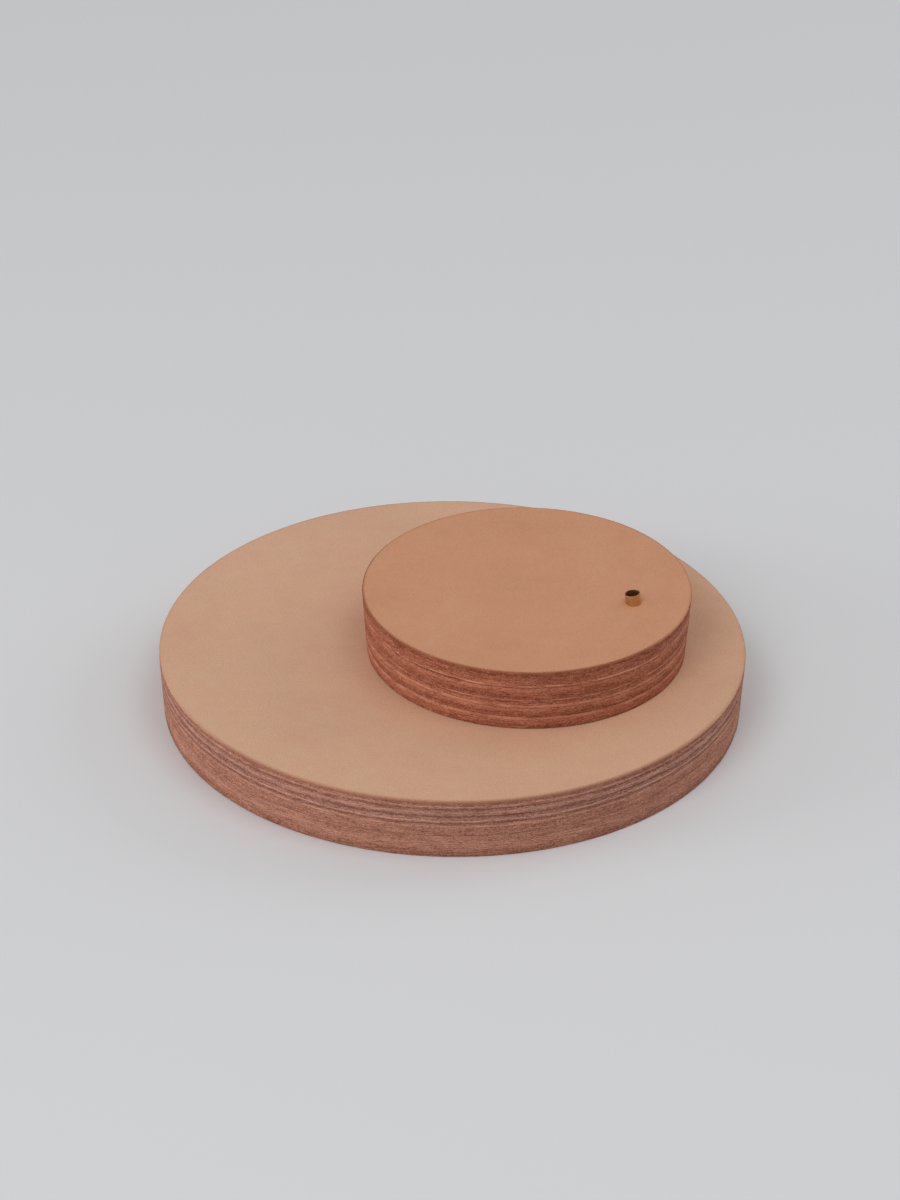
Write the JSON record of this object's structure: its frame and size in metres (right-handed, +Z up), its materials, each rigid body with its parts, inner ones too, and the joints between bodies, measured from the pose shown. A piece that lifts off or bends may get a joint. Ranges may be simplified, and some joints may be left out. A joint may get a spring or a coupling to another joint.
{
  "type": "incense stick holder",
  "caption": "Round laminated leather ash tray with a smaller loose leather disc set off centre on it, which carries a thin leaning brass tube for an incense stick.",
  "frame": {"origin": "centre of the tray's underside", "axes": "+Z up out of the tray; +X towards the side where the small disc stands, with the tube near its +X edge"},
  "size_m": [0.1598, 0.1598, 0.0391],
  "materials": {
    "tray_leather": "matt natural grain, sanded edge",
    "holder_leather": "matt tanned grain, sanded edge",
    "cement": "dry contact cement",
    "brass": "polished"
  },
  "bodies": {
    "tray": {"base_layer_1": "tray_leather", "base_layer_2": "tray_leather", "base_layer_3": "tray_leather", "base_layer_4": "tray_leather", "base_layer_5": "tray_leather", "base_layer_6": "tray_leather", "base_glue_1": "cement", "base_glue_2": "cement", "base_glue_3": "cement", "base_glue_4": "cement", "base_glue_5": "cement"},
    "holder": {"holder_layer_1": "holder_leather", "holder_layer_2": "holder_leather", "holder_layer_3": "holder_leather", "holder_layer_4": "holder_leather", "holder_layer_5": "holder_leather", "holder_glue_1": "cement", "holder_glue_2": "cement", "holder_glue_3": "cement", "holder_glue_4": "cement", "socket_tube": "brass"}
  },
  "joints": [
    {"name": "holder_lift", "type": "slide", "parent": "tray", "child": "holder", "axis": [0, 0, 1], "range_m": [0, 0.06]}
  ]
}
